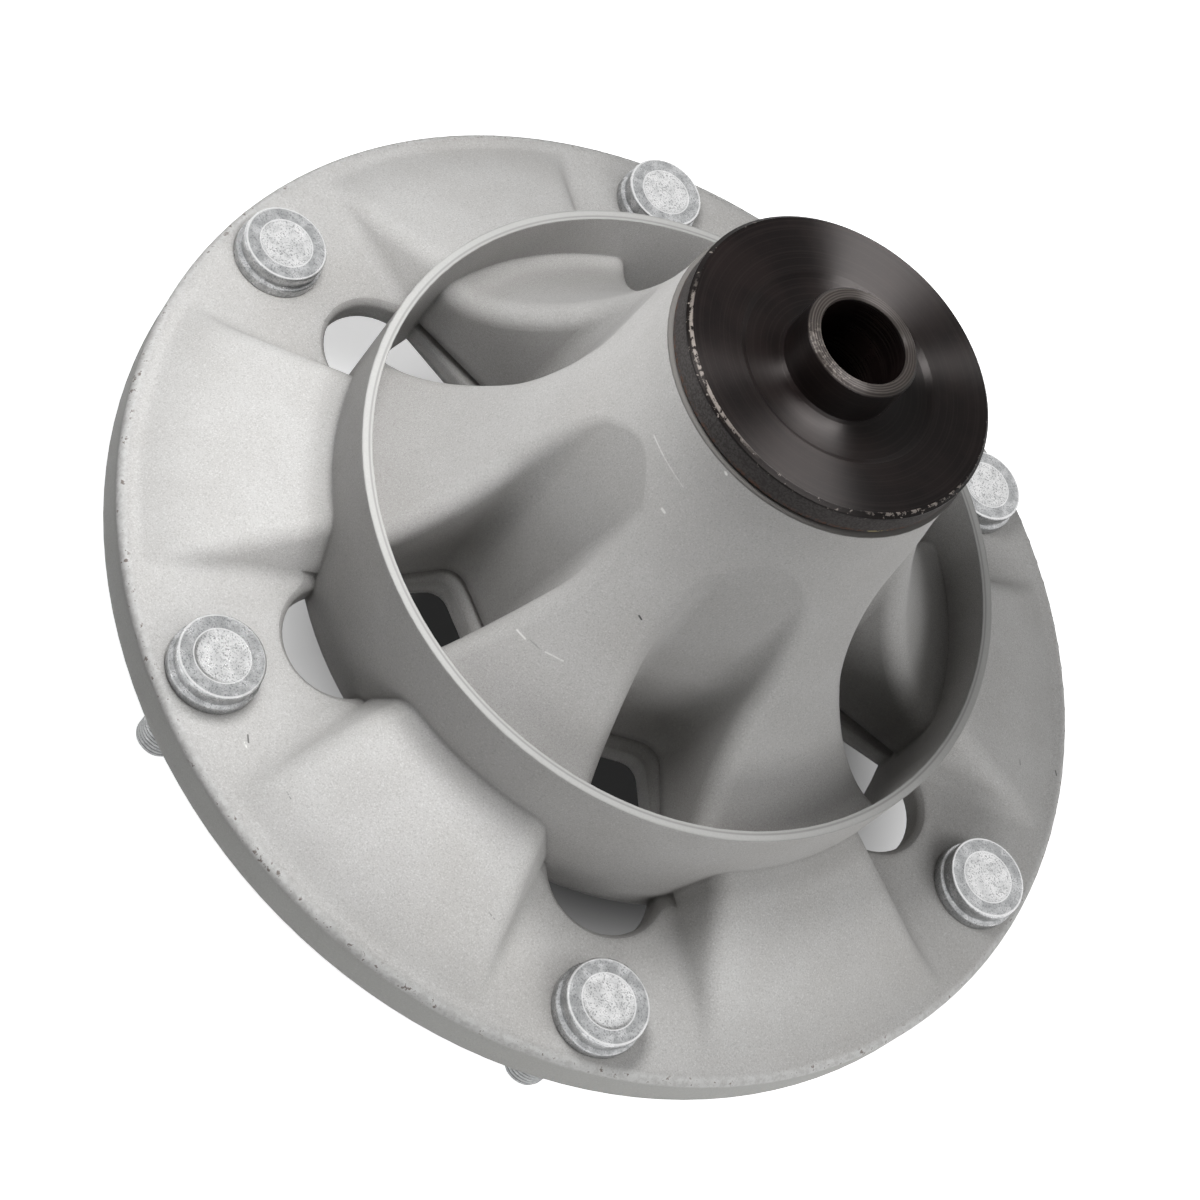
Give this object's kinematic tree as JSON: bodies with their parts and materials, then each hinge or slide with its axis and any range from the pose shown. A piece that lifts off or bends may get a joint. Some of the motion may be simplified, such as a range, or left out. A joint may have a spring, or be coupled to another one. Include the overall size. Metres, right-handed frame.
{
  "type": "mower deck spindle",
  "caption": "Blade spindle for a mower deck: cast flanged housing with ribbed hub and thin collar, pressed studs, and a hollow steel shaft with blade flange turning in sealed bearings.",
  "frame": {"origin": "centre of the housing face that bolts to the deck, on the spindle axis", "axes": "+Z along the spindle axis towards the blade end, +X through one of the mounting studs"},
  "size_m": [0.235, 0.235, 0.1384],
  "materials": {
    "cast": "fine sandblasted casting",
    "zinc": "zinc plated",
    "black_steel": "black oxide, lightly oiled",
    "bearing_steel": "ground",
    "ball_steel": "polished",
    "cage_plastic": "moulded",
    "seal_rubber": "moulded",
    "plain_steel": "turned",
    "spring_steel": "phosphated"
  },
  "bodies": {
    "housing": {"housing": "cast", "mounting_studs": "zinc", "blade_end_retaining_ring": "spring_steel", "pulley_end_retaining_ring": "spring_steel", "blade_bearing_outer_ring": "bearing_steel", "blade_bearing_lower_seal": "seal_rubber", "blade_bearing_upper_seal": "seal_rubber", "pulley_bearing_outer_ring": "bearing_steel", "pulley_bearing_lower_seal": "seal_rubber", "pulley_bearing_upper_seal": "seal_rubber"},
    "rotor": {"spindle_shaft": "black_steel", "bearing_spacer": "plain_steel", "pulley_collar": "plain_steel", "blade_bearing_inner_ring": "bearing_steel", "pulley_bearing_inner_ring": "bearing_steel"},
    "blade_end_balls": {"blade_bearing_balls": "ball_steel", "blade_bearing_cage": "cage_plastic"},
    "pulley_end_balls": {"pulley_bearing_balls": "ball_steel", "pulley_bearing_cage": "cage_plastic"}
  },
  "joints": [
    {"name": "shaft_spin", "type": "hinge", "parent": "housing", "child": "rotor", "pos_m": [0, 0, 0.05], "axis": [0, 0, 1], "continuous": true},
    {"name": "blade_cage_spin", "type": "hinge", "parent": "housing", "child": "blade_end_balls", "pos_m": [0, 0, 0.087], "axis": [0, 0, 1], "continuous": true},
    {"name": "pulley_cage_spin", "type": "hinge", "parent": "housing", "child": "pulley_end_balls", "pos_m": [0, 0, 0.0125], "axis": [0, 0, 1], "continuous": true}
  ],
  "couplings": [
    {"joint": "blade_cage_spin", "follows": "shaft_spin", "ratio": 0.3974},
    {"joint": "pulley_cage_spin", "follows": "shaft_spin", "ratio": 0.3974}
  ]
}
